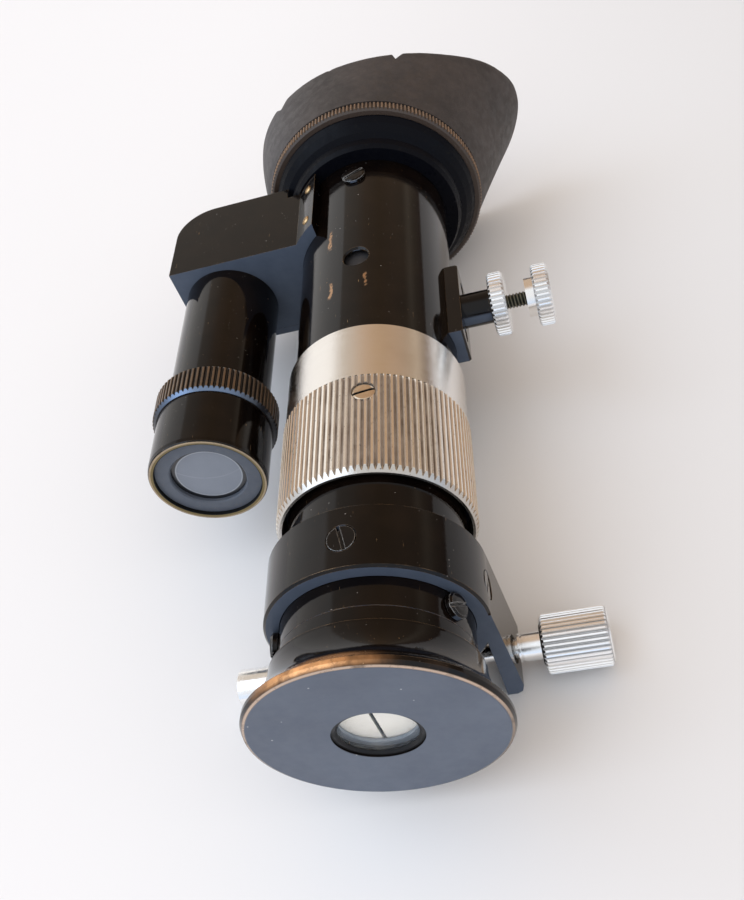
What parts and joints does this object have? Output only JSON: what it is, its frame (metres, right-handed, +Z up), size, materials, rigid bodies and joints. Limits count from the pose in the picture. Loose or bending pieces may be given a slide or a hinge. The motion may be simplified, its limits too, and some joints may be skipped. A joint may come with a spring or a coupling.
{
  "type": "hand spectroscope eyepiece",
  "caption": "Direct-vision hand spectroscope in eyepiece form: turning slit cap, forked clamp, knurled focusing sleeve, side tube for a lit wavelength scale, winged rubber eyecup.",
  "frame": {"origin": "on the optical axis, in the front face of the slit cap", "axes": "+Y along the optical axis from the slit to the eye; +X towards the adjusting screw and clamp knob; +Z up, away from the yoke legs"},
  "size_m": [0.0632, 0.1271, 0.0383],
  "materials": {
    "black_lacquer": "glossy black lacquer over brass, worn to bare brass on the edges",
    "matte_black": "matte black",
    "nickel": "bright nickel plate",
    "turned_nickel": "satin nickel plate, turned",
    "slit_steel": "fine ground",
    "brass": "bare brass",
    "bronze_knurl": "dark oxidised brass",
    "optical_glass": "polished",
    "frosted_glass": "ground",
    "eyecup_rubber": "aged matte, small nicks in the rim"
  },
  "bodies": {
    "barrel": {"main_tube": "black_lacquer", "nickel_band": "turned_nickel", "tube_screw": "bronze_knurl", "collimator_cell": "matte_black", "collimator_lens": "optical_glass", "collimator_ring": "matte_black", "adjust_block": "black_lacquer", "block_screws": "black_lacquer", "adjust_bushing": "black_lacquer", "prism_housing": "black_lacquer", "housing_cover": "black_lacquer", "cover_screws": "black_lacquer", "saddle_pins": "brass", "corner_prism": "optical_glass", "scale_tube": "black_lacquer", "scale_lens": "optical_glass", "scale_lens_ring": "matte_black", "eye_plate": "black_lacquer", "eye_window": "optical_glass", "eye_cap": "matte_black"},
    "eyepiece_cup": {"eye_ring": "bronze_knurl", "eyecup": "eyecup_rubber"},
    "sleeve": {"focus_sleeve": "turned_nickel", "sleeve_screw": "brass"},
    "slit_tube": {"draw_tube": "black_lacquer", "slit_head": "black_lacquer", "slit_plate": "matte_black", "jaw_fixed": "slit_steel", "jaw_screws": "nickel", "yoke": "black_lacquer", "collar_screws": "black_lacquer", "head_screws": "black_lacquer"},
    "slit_ring": {"front_cap": "black_lacquer", "front_window": "optical_glass", "window_ring": "matte_black"},
    "jaw": {"jaw_moving": "slit_steel"},
    "clamp_bolt": {"cross_bolt": "nickel"},
    "clamp_nut": {"clamp_knob": "nickel"},
    "screw_feed": {"adjust_pad": "brass"},
    "screw": {"adjust_screw": "nickel", "adjust_knob": "nickel"},
    "nut": {"lock_nut": "nickel"},
    "prism_train": {"prism_cell": "matte_black", "prism_entry": "optical_glass", "prism_flint": "optical_glass", "prism_exit": "optical_glass"},
    "scale_carrier": {"scale_holder": "matte_black", "scale_plate": "optical_glass"},
    "scale_cap": {"scale_sleeve": "black_lacquer", "scale_knurl_ring": "black_lacquer", "scale_end_ring": "matte_black", "scale_screen": "frosted_glass"}
  },
  "joints": [
    {"name": "eyecup_turn", "type": "hinge", "parent": "barrel", "child": "eyepiece_cup", "pos_m": [0, 0.1025, 0], "axis": [0, 1, 0], "continuous": true},
    {"name": "focus_turn", "type": "hinge", "parent": "barrel", "child": "sleeve", "pos_m": [0, 0.036, 0], "axis": [0, 1, 0], "range_deg": [-60, 60]},
    {"name": "focus_slide", "type": "slide", "parent": "barrel", "child": "slit_tube", "axis": [0, 1, 0], "range_m": [-0.00199, 0.00199]},
    {"name": "slit_ring_turn", "type": "hinge", "parent": "slit_tube", "child": "slit_ring", "pos_m": [0, 0.005, 0], "axis": [0, 1, 0], "range_deg": [-130, 60]},
    {"name": "jaw_slide", "type": "slide", "parent": "slit_tube", "child": "jaw", "axis": [1, 0, 0], "range_m": [-0.00042, 0.00018]},
    {"name": "clamp_knob_turn", "type": "hinge", "parent": "slit_tube", "child": "clamp_nut", "pos_m": [0.02, 0.0172, -0.0149], "axis": [1, 0, 0], "range_deg": [0, 360]},
    {"name": "clamp_bolt_slide", "type": "slide", "parent": "slit_tube", "child": "clamp_bolt", "axis": [-1, 0, 0], "range_m": [0, 0.00069]},
    {"name": "adjust_feed", "type": "slide", "parent": "barrel", "child": "screw_feed", "axis": [1, 0, 0], "range_m": [-0.0004, 0.0004]},
    {"name": "adjust_turn", "type": "hinge", "parent": "screw_feed", "child": "screw", "pos_m": [0.02, 0.0674, 0], "axis": [1, 0, 0], "range_deg": [-270, 270]},
    {"name": "prism_shift", "type": "slide", "parent": "barrel", "child": "prism_train", "axis": [1, 0, 0], "range_m": [-0.000375, 0.000375]},
    {"name": "lock_nut_turn", "type": "hinge", "parent": "barrel", "child": "nut", "pos_m": [0.0194, 0.0674, 0], "axis": [1, 0, 0], "range_deg": [0, 90]},
    {"name": "scale_slide", "type": "slide", "parent": "barrel", "child": "scale_carrier", "axis": [0, 1, 0], "range_m": [-0.00147, 0.00147]},
    {"name": "scale_turn", "type": "hinge", "parent": "scale_carrier", "child": "scale_cap", "pos_m": [-0.0254, 0.05, 0], "axis": [0, 1, 0], "range_deg": [-180, 180]}
  ],
  "couplings": [
    {"joint": "focus_turn", "follows": "focus_slide", "rad_per_m": 526.32},
    {"joint": "slit_ring_turn", "follows": "jaw_slide", "rad_per_m": 5263.2},
    {"joint": "clamp_knob_turn", "follows": "clamp_bolt_slide", "rad_per_m": 9090.9},
    {"joint": "adjust_turn", "follows": "prism_shift", "rad_per_m": 12500},
    {"joint": "adjust_feed", "follows": "prism_shift", "ratio": 1},
    {"joint": "scale_turn", "follows": "scale_slide", "rad_per_m": 2127.7}
  ]
}
